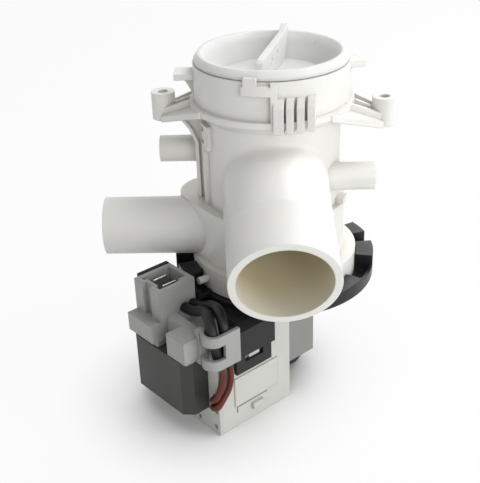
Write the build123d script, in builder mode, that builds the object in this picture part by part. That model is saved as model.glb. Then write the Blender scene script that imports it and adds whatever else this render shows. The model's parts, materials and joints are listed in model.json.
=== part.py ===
"""Washer drain pump: a filter housing with its screw-in cap, on a canned synchronous motor.

Millimetres, +Z towards the filter cap. The origin lies on the pump axis, midway between the top
faces of the two fixing lugs, which stand along X. The big inlet tube points to -Y and down.
The motor lies in its own directions: along, from the pump axis to the closed end of its core,
and across, towards the side that carries the two leads.
"""
from math import cos, degrees, pi, radians, sin, tan
import os

from build123d import *

os.makedirs("parts", exist_ok=True)

# Fixing lugs
lug_spacing = 88.0
boss_radius = 4.8
boss_height = 11.0
screw_hole_radius = 2.1
lug_plate = 2.5
lug_rib = 1.6
lug_rib_height = 2.6

# Filter housing
rim_top = 14.2
barrel_radius = 30.5
barrel_wall = 1.8
barrel_bore = barrel_radius - barrel_wall
barrel_bottom = -6.5
barrel_slope = 2.6
band_top = -0.6
band_thickness = 2.6
band_proud = 1.9
band_radius = barrel_radius + band_proud
chamber_inset = 3.3
chamber_radius = barrel_radius - chamber_inset
chamber_wall = 2.2
partition_top = -42.0
partition_thickness = 2.5
eye_radius = 12.5
wall = 2.2
pocket_clear = 1.6

# Pump chamber and the skirt that takes the motor
scroll_radius = 30.5
scroll_shift = 1.2
scroll_top = -43.2
throat_radius = 14.5
throat_reach = 25.0
throat_side = 2.0
pump_bore = 21.5
skirt_top = -66.1
skirt_bottom = -76.5
skirt_radius = 34.5
skirt_wall = 2.0
peg_radius = 1.5
peg_length = 4.2
peg_drop = 5.5

# Hose stubs
inlet_radius = 21.0
inlet_wall = 3.0
inlet_reach = 65.2
inlet_turn = 11.1
inlet_dip = 18.0
inlet_axis_height = -30.8
inlet_blend = 3.0
seat_margin = 1.2
outlet_seat = 24.0
small_seat = 10.0
root_draft = 0.5
bend_reach = 42.0
inlet_seat = inlet_reach - bend_reach - seat_margin
bend_dip = 32.0
bend_length = 36.0
bend_inset = 0.4
middle_share = 0.5
tooth_shares = (0.25, 0.75)
stub_turn = 7.5
outlet_radius = 12.0
outlet_wall = 2.2
outlet_reach = 70.3
outlet_height = -55.8
outlet_offset = 2.4
small_stub_radius = 5.5
small_stub_wall = 1.6
left_stub_reach = 46.6
left_stub_height = -25.9
left_stub_offset = -9.0
right_stub_reach = 39.9
right_stub_height = -30.2
right_stub_offset = 13.0

# Screw-in cap and its filter
cap_clearance = 0.3
flange_inset = 0.5
rim_inset = 1.5
cap_flange_radius = barrel_radius - flange_inset
cap_rim_radius = cap_flange_radius - rim_inset
cap_top = 17.8
cap_shoulder = 1.1
recess_rim = 1.3
recess_slope = 6.2
recess_radius = cap_rim_radius - recess_rim
recess_floor_radius = recess_radius - recess_slope
recess_floor = 8.0
cap_floor = 2.0
plug_clearance = 0.4
plug_bottom = 9.4
groove_low = 10.4
groove_high = 13.0
groove_depth = 2.2
seal_clearance = 0.15
thread_room = 2.7
cap_barrel_radius = barrel_bore - thread_room
cap_skirt_wall = 2.0
cap_skirt_bottom = -2.5
thread_lead = 12.0
thread_starts = 2
thread_height = 2.4
thread_reach = 2.2
thread_sink = 0.3
housing_thread_low = 3.5
housing_thread_arc = 100.0
cap_thread_arc = 60.0
handle_thickness = 2.6
handle_top = 19.0
handle_peak = 21.0
handle_front = 20.0
handle_peak_from = 19.0
handle_turn = 5.0
hub_radius = 7.0
hub_bottom = 0.0
spigot_radius = 5.0
snap_radius = 6.3
snap_height = 2.0
filter_plate = 3.2
filter_clearance = 0.3
filter_room = 1.6
filter_radius = chamber_radius - chamber_wall - filter_room
filter_wall = 2.2
filter_bottom = -40.5
filter_ring = 3.0
filter_bars = 12
filter_bar = 2.6
filter_grid = 2.0
filter_hole_radius = 2.0
key_width = 3.0
key_depth = 1.3
key_clearance = 0.35
key_fin = 1.6

# Motor head, can and bearings
head_plate_top = -68.4
spigot_top = -64.6
spigot_clearance = 0.3
head_clearance = 0.3
base_plate_top = -76.9
base_plate_bottom = -80.2
base_plate_radius = 36.6
bayonet_radius = 42.1
bayonet_bottom = -77.6
bayonet_floor = 2.0
bayonet_rim = 1.6
bayonet_rim_top = -73.4
mount_plate_bottom = -83.6
mount_plate_from = -14.0
mount_plate_to = 40.0
mount_plate_half = 21.0
can_bore = 10.4
can_wall = 1.2
can_clearance = 0.3
can_flange_radius = 15.0
can_flange = 1.5
can_bottom = -123.2
shaft_radius = 2.0
shaft_clearance = 0.03
bush_radius = 5.0
bush_length = 4.4
holder_clearance = 0.05
magnet_radius = 9.6
magnet_length = 26.0
washer_thickness = 0.6
washer_radius = 4.4

# Impeller and its drive
impeller_radius = 18.0
impeller_floor_gap = 1.2
impeller_disc = 1.6
impeller_top = -48.0
impeller_vanes = 6
vane_thickness = 1.6
drive_hub_radius = 7.4
drive_cavity_radius = 5.8
drive_cavity_height = 7.0
dog_radius = 3.4
dog_reach = 5.4
dog_height = 4.6
damper_wall = 0.5
dog_half_angle = 12.0
damper_half_angle = 17.0
stop_half_angle = 60.0

# Stator, coils and coil housing
motor_turn = 39.4
core_half = 18.0
core_end = 64.7
core_start = -9.4
core_low = -114.9
core_high = -90.0
core_chamfer = 3.6
core_bore_gap = 0.4
yoke_depth = 10.3
leg_width = 11.0
pole_reach = 12.8
pole_gap = 6.0
rivet_radius = 1.6
rivet_head_radius = 2.6
rivet_head = 0.8
coil_box_from = 13.6
coil_box_to = 54.1
coil_room = 0.55
coil_box_low = -126.0
coil_box_high = -84.0
coil_box_wall = 1.3
coil_box_corner = 2.5
channel_from = 28.0
channel_to = 45.0
channel_height = -116.5
channel_leg = 2.8
channel_width = 0.6
channel_depth = 0.7
core_clearance = 0.25
bobbin_wall = 0.9
bobbin_flange = 1.0
bobbin_gap = 0.3
winding_depth = 3.0
panel_proud = 0.5
panel_from = 22.5
panel_to = 46.0
panel_low = -115.6
panel_high = -102.0
catch_proud = 1.5

# Snap bracket of the motor head over the coil housing
bracket_gap = 0.3
bracket_thickness = 1.6
bracket_from = 25.4
bracket_to = 46.2
bracket_step = 2.1
bracket_high = -79.7
bracket_mid = -91.5
bracket_low = -98.8
slot_from = 32.0
slot_to = 41.5
slot_high = -91.5
slot_low = -94.3

# Connector on its base, with the arm and the lead clip
conn_from = 44.2
conn_to = 62.0
conn_left = -15.8
conn_right = 0.4
conn_high = -65.2
conn_wall = 1.9
conn_socket = 11.0
conn_key_from = -10.4
conn_key_to = -5.4
conn_key_depth = 1.4
base_from = 54.4
base_to = 66.6
base_high = -79.2
base_low = -87.2
arm_from = 56.6
arm_left = 9.6
arm_right = 20.4
arm_high = -77.4
arm_low = -87.2
clip_from = 46.6
clip_turn_at = 56.0
clip_high = -74.2
clip_low = -89.2
clip_thickness = 1.5
clip_face = 30.2
clip_window_from = 54.0
clip_window_high = -78.6
clip_window_low = -84.8
blade_width = 6.3
blade_thickness = 0.8
blade_pitch = 6.0
blade_length = 17.6
blade_top_gap = 1.0

# Leads and their sleeves
lead_diameter = 2.6
sleeve_wall = 0.7
sleeve_gap = 0.1
terminal_radius = 0.6
cutout_length = 14.0
cutout_width = 6.0
cutout_height = 2.8

# Gusset, fins, catch and tabs of the housing
lug_sink = 6.5
lug_from = barrel_radius - lug_sink
lug_root = 3.0
lug_width = 42.0
lug_drop = 6.0
gusset_side = 4.4
gusset_out = 7.6
gusset_bend = 2.2
gusset_knee_height = -13.5
gusset_proud = 3.2
gusset_foot = chamber_radius + gusset_proud
gusset_reach = gusset_foot + gusset_out
gusset_knee = gusset_foot + gusset_bend
gusset_straight_height = -19.0
gusset_web = 1.8
gusset_flange = 1.5
gusset_width = 4.8
fin_places = (6.6, 10.65, 14.35, 18.1)
fin_widths = (3.8, 2.7, 2.7, 2.8)
fin_tops = (8.2, 8.3, 8.1, 8.0)
fin_low = -4.7
fin_slope = 3.0
fin_proud = 3.4
catch_from = -102.6
catch_step_from = -101.2
catch_step = -92.5
catch_to = -83.5
rib_to = -79.0
catch_low = 9.4
catch_high = 13.0
catch_step_top = 16.0
catch_reach = 2.1
tab_angles = (188.0, 27.0)
tab_height = 7.6
tab_thickness = 2.4
tab_reach = 8.2
tab_width = 9.5
pad_from = -16.0
pad_to = -4.0
pad_height = 2.2
lug_rib_near = 9.0
lug_rib_far = 3.6
strip_from = -160.0
strip_to = -151.0
strip_top = -12.0
strip_proud = 1.6
frame_to = -143.0
frame_low = -18.5
frame_top = -8.5
frame_bar = 1.8
peg_angles = (188.0, 8.0, -136.0)

# More of the cap and the filter
cap_rim_bulge = 1.6
cap_thread_from = 10.0
cap_thread_low = 0.8
filter_windows = 6
filter_window_radius = 4.4
filter_rows = 7
filter_pitch_share = 2.7
filter_slot = 3.8

# More of the motor head
gasket_groove = 1.4
bayonet_from = -62.0
bayonet_to = 50.0
bayonet_blocks = ((-62.0, -24.0, -72.0), (-5.0, 14.0, -68.6), (26.0, 40.0, -68.6))
peg_slot_turn = 5.0
cheek_from = 43.0
cheek_to = 58.0
cheek_gap = 1.8
cheek_thickness = 2.0
cheek_high = -66.2
holder_drop = 2.0
drive_top = -53.6
magnet_hub_radius = 4.6
washer_play = 0.15
rest_width = 5.0
rest_from = -9.0
rest_to = 8.0
rest_gap = 0.15
dog_lift = 0.8
damper_gap_angle = 1.0

# More of the coils
rivet_spread = 11.0
bobbin_to = 50.0
winding_cover = 0.5
winding_corner = 3.0
latch_gap = 0.4
latch_from = 33.3
latch_to = 38.8
clip_low_from = -121.0
clip_low_to = -118.0
clip_low_start = 31.5
clip_low_end = 37.0
lead_inset = 2.1
lead_a_height = -108.0
lead_b_height = -111.2
probe_radius = 1.1
probe_shares = ((0.461, 0.067), (0.914, 0.267), (0.89, 0.081))
terminal_gap = 0.3
cutout_from = 26.0

# More of the connector
conn_middle = -7.6
lead_port_gap = 0.4
strap_foot = 3.0
strap_foot_length = 4.0
conn_key_wall = 1.2
conn_side_key = 4.0
base_rear_low = -83.7
arm_web_to = 59.0

# Routes of the two leads: along, across and height of each corner
lead_start = -0.8
lead_start_height = -76.6
lead_a_points = (
    (50.4, -0.8, -76.6),
    (50.5, 6.6, -76.0),
    (51.6, 15.0, -71.2),
    (55.2, 22.4, -70.3),
    (57.0, 26.4, -75.6),
    (55.4, 26.5, -85.0),
    (53.1, 26.6, -92.6),
    (52.7, 26.3, -97.4),
    (54.6, 26.3, -101.5),
    (56.3, 26.0, -105.6),
    (56.4, 22.4, -108.0),
    (52.6, 22.4, -108.0),
)
lead_b_points = (
    (46.0, -0.8, -76.6),
    (46.1, 6.2, -75.8),
    (46.9, 14.2, -71.2),
    (49.4, 22.0, -69.3),
    (51.4, 26.5, -75.0),
    (50.6, 26.6, -84.4),
    (49.3, 26.7, -93.4),
    (48.9, 26.3, -99.3),
    (50.3, 26.3, -103.6),
    (53.0, 26.3, -106.6),
    (56.3, 26.1, -110.2),
    (56.4, 22.4, -111.2),
    (52.6, 22.4, -111.2),
)
arc_share = 0.45
sleeve_corners = 5
sleeve_start_share = 0.25
sleeve_end_share = 0.6


overrun = 1.0


def level(height):
    """A horizontal sketch plane at the given height."""
    return Plane.XY.offset(height)


def motor_point(along, across, height):
    """A point given in the motor's own directions."""
    turn = radians(motor_turn)
    x = -along * sin(turn) + across * cos(turn)
    y = -along * cos(turn) - across * sin(turn)
    return Vector(x, y, height)


def motor_plane(along, across, height):
    """A horizontal plane whose X runs along the motor and whose Y runs across it."""
    turn = radians(motor_turn)
    x_dir = (-sin(turn), -cos(turn), 0)
    return Plane(origin=motor_point(along, across, height), x_dir=x_dir, z_dir=(0, 0, 1))


def add_block(along_from, along_to, across_from, across_to, low, high, mode=Mode.ADD):
    """A box given by its faces in the motor's own directions."""
    middle = motor_plane(
        (along_from + along_to) / 2, (across_from + across_to) / 2, (low + high) / 2
    )
    with Locations(middle):
        Box(along_to - along_from, across_to - across_from, high - low, mode=mode)


def add_box(x_from, x_to, y_from, y_to, low, high, mode=Mode.ADD):
    """A box given by its faces in the pump's directions."""
    with Locations(((x_from + x_to) / 2, (y_from + y_to) / 2, (low + high) / 2)):
        Box(x_to - x_from, y_to - y_from, high - low, mode=mode)


def add_drum(radius, low, high, mode=Mode.ADD):
    """An upright cylinder on the pump axis."""
    with Locations((0, 0, (low + high) / 2)):
        Cylinder(radius, high - low, mode=mode)


def add_sector(inner, outer, start, stop, low, high, mode=Mode.ADD):
    """A piece of a ring round the pump axis, between two angles in degrees."""
    with BuildSketch(level(low)) as outline:
        with BuildLine():
            CenterArc((0, 0), outer, start, stop - start)
            CenterArc((0, 0), inner, start, stop - start)
            for angle in (start, stop):
                turn = radians(angle)
                Line(
                    (inner * cos(turn), inner * sin(turn)),
                    (outer * cos(turn), outer * sin(turn)),
                )
        make_face()
    extrude(outline.sketch, amount=high - low, mode=mode)


def add_helix_rib(inner, outer, start, arc, low):
    """A thread rib: a rectangular section swept along part of a right-hand helix."""
    path = Helix(pitch=thread_lead, height=thread_lead * arc / 360, radius=(inner + outer) / 2)
    path = Pos(0, 0, low) * Rot(0, 0, start) * path
    turn = radians(start)
    section = Plane(origin=path @ 0, x_dir=(cos(turn), sin(turn), 0), z_dir=path % 0)
    with BuildSketch(section) as outline:
        Rectangle(outer - inner, thread_height)
    sweep(outline.sketch, path=path, is_frenet=True)


def finish(piece, name):
    """Label a finished piece and write it as one STEP file."""
    piece.part.label = name
    export_step(piece.part, "parts/" + name + ".step")
    print(name, len(piece.part.solids()), round(piece.part.volume))


def stub_mouth(offset, height, reach, side):
    """The plane at a hose stub's mouth: its Z points out, side is 1 for right, -1 for left."""
    turn = radians(stub_turn)
    out = Vector(cos(turn), sin(turn), 0) * side
    mouth = out * reach + Vector(-sin(turn), cos(turn), 0) * offset + Vector(0, 0, height)
    return Plane(origin=mouth, x_dir=(0, 0, 1), z_dir=out)


def add_stub(mouth, radius, seat, reach, draft, mode=Mode.ADD):
    """A hose stub, or its bore: an even seat at the mouth, then a root with the mould's draft."""
    with BuildSketch(mouth) as outline:
        Circle(radius)
    extrude(outline.sketch, amount=-seat, mode=mode)
    with Locations(mouth.offset(-(seat + reach) / 2)):
        Cone(radius + draft, radius, reach - seat, mode=mode)


def add_bend(radius, mode=Mode.ADD):
    """The inlet tube's upper part, or its bore, which bends up to the filter chamber."""
    with BuildSketch(inlet_bend) as outline:
        Circle(radius)
    extrude(outline.sketch, amount=bend_length, mode=mode)


# Values worked out from the sizes
inlet_azimuth = radians(inlet_turn)
inlet_fall = radians(inlet_dip)
inlet_out = Vector(
    sin(inlet_azimuth) * cos(inlet_fall), -cos(inlet_azimuth) * cos(inlet_fall), -sin(inlet_fall)
)
inlet_side = Vector(cos(inlet_azimuth), sin(inlet_azimuth), 0)
inlet_root = Plane(origin=(0, 0, inlet_axis_height), x_dir=inlet_side, z_dir=inlet_out)
inlet_mouth = inlet_root.offset(inlet_reach)
inlet_bend = Plane(
    origin=inlet_root.offset(bend_reach).origin,
    x_dir=(cos(radians(inlet_turn)), sin(radians(inlet_turn)), 0),
    z_dir=(
        -sin(radians(inlet_turn)) * cos(radians(bend_dip)),
        cos(radians(inlet_turn)) * cos(radians(bend_dip)),
        sin(radians(bend_dip)),
    ),
)
outlet_mouth = stub_mouth(-outlet_offset, outlet_height, outlet_reach, -1)
left_mouth = stub_mouth(-left_stub_offset, left_stub_height, left_stub_reach, -1)
right_mouth = stub_mouth(-right_stub_offset, right_stub_height, right_stub_reach, 1)
partition_bottom = partition_top - partition_thickness
pump_wall_radius = pump_bore + wall
skirt_floor = skirt_top - skirt_wall
winding_reach = core_clearance + bobbin_wall + winding_depth + winding_cover
coil_box_half = core_half + winding_reach + coil_room + coil_box_wall
coil_box_height = coil_box_high - coil_box_low
lead_entry = coil_box_half - lead_inset
pocket_radius = scroll_radius - scroll_shift - wall
chamber_bore = chamber_radius - chamber_wall
small_stubs = (
    (left_mouth, left_stub_reach - chamber_bore / 2),
    (right_mouth, right_stub_reach - chamber_bore / 2),
)
boss_places = [(-lug_spacing / 2, 0), (lug_spacing / 2, 0)]
peg_height = skirt_top - peg_drop
plug_radius = barrel_bore - plug_clearance


# The inlet's bore, which rises over the pump bore, and the moulded pockets round the pump bore
with BuildPart() as inlet_bore:
    inlet_inner = inlet_radius - inlet_wall
    add_stub(inlet_mouth, inlet_inner, inlet_seat, inlet_reach, -root_draft)
    add_bend(inlet_inner - root_draft - bend_inset)
    add_drum(pump_wall_radius, skirt_bottom, partition_top, mode=Mode.SUBTRACT)

with BuildPart() as pockets:
    with BuildSketch(level(skirt_bottom)):
        Circle(pocket_radius)
        Circle(pump_wall_radius, mode=Mode.SUBTRACT)
    extrude(amount=partition_bottom - pocket_clear - skirt_bottom)
    add_stub(inlet_mouth, inlet_radius, inlet_seat, inlet_reach, root_draft, mode=Mode.SUBTRACT)
    add_stub(outlet_mouth, outlet_radius, outlet_seat, outlet_reach, root_draft, mode=Mode.SUBTRACT)


# Filter housing and pump chamber, moulded in one piece
with BuildPart() as pump_housing:
    # Filter chamber and inlet tube, blended where they meet
    add_drum(chamber_radius, skirt_top, barrel_bottom)
    add_stub(inlet_mouth, inlet_radius, inlet_seat, inlet_reach, root_draft)
    add_bend(inlet_radius - bend_inset)
    meeting = [
        edge
        for edge in pump_housing.edges().filter_by(GeomType.BSPLINE)
        if edge.length > inlet_radius / 2 and (edge @ middle_share).Y < -chamber_radius / 3
    ]
    fillet(meeting, inlet_blend)
    # Wide barrel for the cap, sloping in at its foot
    with BuildSketch(Plane.XZ):
        with BuildLine():
            Polyline(
                (0, rim_top),
                (barrel_radius, rim_top),
                (barrel_radius, barrel_bottom + barrel_slope),
                (barrel_radius - barrel_slope, barrel_bottom),
                (0, barrel_bottom),
                (0, rim_top),
            )
        make_face()
    revolve(axis=Axis.Z)
    # Scroll of the pump chamber, drawn out towards the outlet
    with BuildSketch(level(skirt_top)) as scroll:
        with Locations((-scroll_shift, 0)):
            Circle(scroll_radius)
        with Locations((-throat_reach, throat_side)):
            Circle(throat_radius)
        make_hull()
    extrude(amount=scroll_top - skirt_top)
    # Skirt over the motor head, with its bayonet pegs
    add_drum(skirt_radius, skirt_bottom, skirt_top)
    for angle in peg_angles:
        peg = Plane(
            origin=(0, 0, peg_height),
            x_dir=(0, 0, 1),
            z_dir=(cos(radians(angle)), sin(radians(angle)), 0),
        )
        with BuildSketch(peg):
            Circle(peg_radius)
        extrude(amount=skirt_radius + peg_length)
    # Hose stubs
    add_stub(outlet_mouth, outlet_radius, outlet_seat, outlet_reach - scroll_shift, root_draft)
    for mouth, reach in small_stubs:
        add_stub(mouth, small_stub_radius, small_seat, reach, root_draft)
    # Band round the barrel and the two fixing lugs
    add_drum(band_radius, band_top - band_thickness, band_top)
    for side in (-1, 1):
        near = side * lug_from
        far = side * lug_spacing / 2
        with BuildSketch(Plane.XZ):
            with BuildLine():
                Polyline(
                    (near, band_top),
                    (far, lug_plate - boss_height),
                    (far, -boss_height),
                    (near, band_top - band_thickness),
                    (near, band_top),
                )
            make_face()
        slope = extrude(amount=lug_width, both=True, mode=Mode.PRIVATE)
        with BuildSketch(level(-boss_height)):
            with Locations((far, 0)):
                Circle(boss_radius)
            with Locations((near, 0)):
                Rectangle(lug_root, lug_width)
            make_hull()
        plan = extrude(amount=boss_height, mode=Mode.PRIVATE)
        add(slope & plan)
        # Three ribs on the lug, spreading from the boss to the barrel
        with BuildSketch(Plane.XZ):
            with BuildLine():
                Polyline(
                    (near, band_top + lug_rib_height),
                    (far, lug_plate + lug_rib_height - boss_height),
                    (far, lug_plate / 2 - boss_height),
                    (near, band_top - band_thickness / 2),
                    (near, band_top + lug_rib_height),
                )
            make_face()
        slope = extrude(amount=lug_width, both=True, mode=Mode.PRIVATE)
        with BuildSketch(level(-boss_height)):
            for place in (-1, 0, 1):
                at_boss = place * lug_rib_far
                at_barrel = place * lug_rib_near
                with BuildLine():
                    Polyline(
                        (far, at_boss - lug_rib / 2),
                        (near, at_barrel - lug_rib / 2),
                        (near, at_barrel + lug_rib / 2),
                        (far, at_boss + lug_rib / 2),
                        (far, at_boss - lug_rib / 2),
                    )
                make_face()
        plan = extrude(amount=boss_height + lug_rib_height, mode=Mode.PRIVATE)
        add(slope & plan)
    with BuildSketch(level(-boss_height)):
        with Locations(*boss_places):
            Circle(boss_radius)
    extrude(amount=boss_height)
    # Curved T gusset from the left lug down to the scroll
    with BuildSketch(Plane.XZ.offset(gusset_side)):
        with BuildLine():
            Polyline(
                (-gusset_reach, band_top - lug_drop),
                (-gusset_knee, gusset_knee_height),
                (-gusset_foot, gusset_straight_height),
                (-gusset_foot, scroll_top),
                (-chamber_bore, scroll_top),
                (-chamber_bore, band_top - band_thickness),
                (-gusset_reach, band_top - lug_drop),
            )
        make_face()
    extrude(amount=gusset_web / 2, both=True)
    with BuildSketch(Plane.XZ.offset(gusset_side)):
        with BuildLine():
            Polyline(
                (-gusset_reach, band_top - lug_drop),
                (-gusset_knee, gusset_knee_height),
                (-gusset_foot, gusset_straight_height),
                (-gusset_foot, scroll_top),
                (-gusset_foot + gusset_flange, scroll_top),
                (-gusset_foot + gusset_flange, gusset_straight_height),
                (-gusset_knee + gusset_flange, gusset_knee_height),
                (-gusset_reach + gusset_flange, band_top - lug_drop),
                (-gusset_reach, band_top - lug_drop),
            )
        make_face()
    extrude(amount=gusset_width / 2, both=True)
    # Upright strip beside the gusset, with a notched frame at its top
    strip_outer = chamber_radius + strip_proud
    add_sector(chamber_bore, strip_outer, strip_from, strip_to, scroll_top, strip_top)
    add_sector(chamber_bore, strip_outer, strip_from, frame_to, frame_low, frame_top)
    for share in tooth_shares:
        notch = frame_low + (frame_top - frame_low) * share
        add_sector(
            chamber_radius,
            strip_outer + overrun,
            strip_from + frame_bar,
            strip_to - frame_bar,
            notch - frame_bar / 2,
            notch + frame_bar / 2,
            mode=Mode.SUBTRACT,
        )
    # Fins and the catch on the front of the barrel
    for fin_x, fin_width, fin_high in zip(fin_places, fin_widths, fin_tops):
        with BuildSketch(Plane.YZ.offset(fin_x)):
            fin_front = -((barrel_radius + fin_proud) ** 2 - fin_x**2) ** 0.5
            with BuildLine():
                Polyline(
                    (fin_front + barrel_radius - chamber_bore, fin_low),
                    (fin_front, fin_low),
                    (fin_front, fin_high - fin_slope),
                    (fin_front + fin_proud / 2, fin_high),
                    (fin_front + barrel_radius - chamber_bore, fin_high),
                    (fin_front + barrel_radius - chamber_bore, fin_low),
                )
            make_face()
        extrude(amount=fin_width / 2, both=True)
    catch_outer = barrel_radius + catch_reach
    add_sector(barrel_bore + wall / 4, catch_outer, catch_from, catch_to, catch_low, catch_high)
    step_inner = cap_flange_radius + cap_clearance
    add_sector(step_inner, catch_outer, catch_step_from, catch_step, catch_high, catch_step_top)
    add_sector(barrel_bore + wall / 4, catch_outer, catch_to, rib_to, band_top, rim_top)
    # Side tabs on the barrel
    for tab_angle in tab_angles:
        tab_plane = Plane(
            origin=(0, 0, 0),
            x_dir=(cos(radians(tab_angle)), sin(radians(tab_angle)), 0),
            z_dir=(0, 0, 1),
        )
        with BuildSketch(tab_plane.offset(tab_height)):
            with Locations(((barrel_bore + barrel_radius) / 2 + tab_reach / 2, 0)):
                Rectangle(tab_reach, tab_width)
        extrude(amount=tab_thickness)
        with BuildSketch(Plane(tab_plane.origin, x_dir=tab_plane.x_dir, z_dir=-tab_plane.y_dir)):
            with BuildLine():
                Polyline(
                    (barrel_bore + wall / 2, tab_height),
                    (barrel_radius + tab_reach / 2, tab_height),
                    (barrel_bore + wall / 2, tab_height - tab_reach),
                    (barrel_bore + wall / 2, tab_height),
                )
            make_face()
        extrude(amount=gusset_web / 2, both=True)
    # Small pad under the right stub
    add_sector(chamber_bore, scroll_radius, pad_from, pad_to, scroll_top, scroll_top + pad_height)

    # Bores, from the top down
    add_drum(barrel_bore, barrel_bottom + chamber_wall, rim_top, mode=Mode.SUBTRACT)
    add_drum(chamber_bore, partition_top, barrel_bottom + chamber_wall, mode=Mode.SUBTRACT)
    add_drum(eye_radius, partition_bottom, partition_top, mode=Mode.SUBTRACT)
    add_drum(pump_bore, skirt_bottom, partition_bottom, mode=Mode.SUBTRACT)
    add(pockets.part, mode=Mode.SUBTRACT)
    # Room for the motor head inside the skirt
    add_drum(skirt_radius - skirt_wall, skirt_bottom, skirt_floor, mode=Mode.SUBTRACT)
    # Bores of the inlet, the outlet and the small stubs
    add(inlet_bore.part, mode=Mode.SUBTRACT)
    outlet_bore = outlet_radius - outlet_wall
    add_stub(outlet_mouth, outlet_bore, outlet_seat, outlet_reach, -root_draft, mode=Mode.SUBTRACT)
    small_bore = small_stub_radius - small_stub_wall
    for mouth, reach in small_stubs:
        add_stub(mouth, small_bore, small_seat, reach, -root_draft, mode=Mode.SUBTRACT)
    with BuildSketch(level(-boss_height)):
        with Locations(*boss_places):
            Circle(screw_hole_radius)
    extrude(amount=boss_height, mode=Mode.SUBTRACT)
    # Thread ribs for the cap, and the keys that stop the filter from turning
    for start in range(thread_starts):
        add_helix_rib(
            cap_barrel_radius + plug_clearance,
            barrel_bore + thread_sink,
            start * 360 / thread_starts,
            housing_thread_arc,
            housing_thread_low,
        )
    for side in (-1, 1):
        add_box(
            side * chamber_bore - key_depth,
            side * chamber_bore + key_depth,
            -key_width / 2,
            key_width / 2,
            partition_top,
            barrel_bottom,
        )
finish(pump_housing, "pump_housing")


# Screw-in cap: a dished top with a finger plate, a plug with a seal groove, and a thread skirt
plug_top = rim_top + cap_clearance
recess_wall = cap_rim_radius - recess_radius
cap_skirt_bore = cap_barrel_radius - cap_skirt_wall
with BuildPart() as filter_cap:
    with BuildSketch(Plane.XZ):
        with BuildLine():
            Polyline(
                (0, recess_floor),
                (recess_floor_radius, recess_floor),
                (recess_radius - cap_rim_bulge, plug_top + cap_shoulder),
                (recess_radius, cap_top),
                (cap_rim_radius, cap_top),
                (cap_flange_radius, plug_top + cap_shoulder),
                (cap_flange_radius, plug_top),
                (plug_radius, plug_top),
                (plug_radius, groove_high),
                (plug_radius - groove_depth, groove_high),
                (plug_radius - groove_depth, groove_low),
                (plug_radius, groove_low),
                (plug_radius, plug_bottom),
                (cap_barrel_radius, plug_bottom - cap_shoulder),
                (cap_barrel_radius, cap_skirt_bottom),
                (cap_skirt_bore, cap_skirt_bottom),
                (cap_skirt_bore, recess_floor - cap_floor - cap_shoulder),
                (recess_floor_radius, recess_floor - cap_floor),
                (hub_radius, recess_floor - cap_floor),
                (hub_radius, hub_bottom),
                (spigot_radius, hub_bottom),
                (spigot_radius, hub_bottom - filter_slot),
                (snap_radius, hub_bottom - filter_slot),
                (spigot_radius, hub_bottom - filter_slot - snap_height),
                (0, hub_bottom - filter_slot - snap_height),
                (0, recess_floor),
            )
        make_face()
    revolve(axis=Axis.Z)
    # Finger plate, turned a little, its top rising to the back wall of the dish
    finger = Plane.YZ.rotated((0, 0, -handle_turn))
    with BuildSketch(finger):
        with BuildLine():
            Polyline(
                (-handle_front, recess_floor - cap_floor / 2),
                (-handle_front, handle_top - cap_shoulder),
                (cap_shoulder - handle_front, handle_top),
                (handle_peak_from, handle_top),
                (recess_radius - recess_wall, handle_peak),
                (recess_radius, handle_peak),
                (recess_radius + recess_wall / 2, cap_top - recess_wall),
                (recess_floor_radius, recess_floor - cap_floor / 2),
                (-handle_front, recess_floor - cap_floor / 2),
            )
        make_face()
    extrude(amount=handle_thickness / 2, both=True)
    for start in range(thread_starts):
        add_helix_rib(
            cap_barrel_radius - thread_sink,
            cap_barrel_radius + thread_reach,
            cap_thread_from + start * 360 / thread_starts,
            cap_thread_arc,
            cap_thread_low,
        )
finish(filter_cap, "filter_cap")

with BuildPart() as cap_seal:
    seal_radius = (groove_high - groove_low) / 2 - seal_clearance
    with BuildSketch(Plane.XZ):
        with Locations((barrel_bore - seal_clearance - seal_radius, (groove_high + groove_low) / 2)):
            Circle(seal_radius)
    revolve(axis=Axis.Z)
finish(cap_seal, "cap_seal")


# Lint filter: a cage under the cap that slides on two keys and doesn't turn
filter_top = hub_bottom - filter_clearance
with BuildPart() as lint_filter:
    add_drum(filter_radius, filter_top - filter_plate, filter_top)
    add_drum(
        spigot_radius + filter_clearance, filter_top - filter_plate, filter_top, mode=Mode.SUBTRACT
    )
    with BuildSketch(level(filter_top - filter_plate)):
        with PolarLocations((spigot_radius + filter_radius) / 2, filter_windows):
            Circle(filter_window_radius)
    extrude(amount=filter_plate, mode=Mode.SUBTRACT)
    with BuildSketch(level(filter_bottom)):
        with PolarLocations(filter_radius - filter_wall / 2, filter_bars):
            Rectangle(filter_wall, filter_bar)
    extrude(amount=filter_top - filter_plate - filter_bottom)
    with BuildSketch(level(filter_bottom)):
        Circle(filter_radius)
        Circle(filter_radius - filter_wall, mode=Mode.SUBTRACT)
    extrude(amount=filter_ring)
    add_drum(filter_radius - filter_wall / 2, filter_bottom, filter_bottom + filter_grid)
    with BuildSketch(level(filter_bottom)):
        with GridLocations(*[filter_hole_radius * filter_pitch_share] * 2, filter_rows, filter_rows):
            Circle(filter_hole_radius)
    extrude(amount=filter_grid, mode=Mode.SUBTRACT)
    for side in (-1, 1):
        for edge in (-1, 1):
            inner_edge = key_width / 2 + key_clearance
            add_box(
                side * (chamber_bore + filter_radius - filter_wall - key_clearance) / 2
                - (chamber_bore - key_clearance - filter_radius + filter_wall) / 2,
                side * (chamber_bore + filter_radius - filter_wall - key_clearance) / 2
                + (chamber_bore - key_clearance - filter_radius + filter_wall) / 2,
                edge * (inner_edge + key_fin / 2) - key_fin / 2,
                edge * (inner_edge + key_fin / 2) + key_fin / 2,
                filter_bottom,
                cap_skirt_bottom - key_fin,
            )
finish(lint_filter, "lint_filter")


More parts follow.
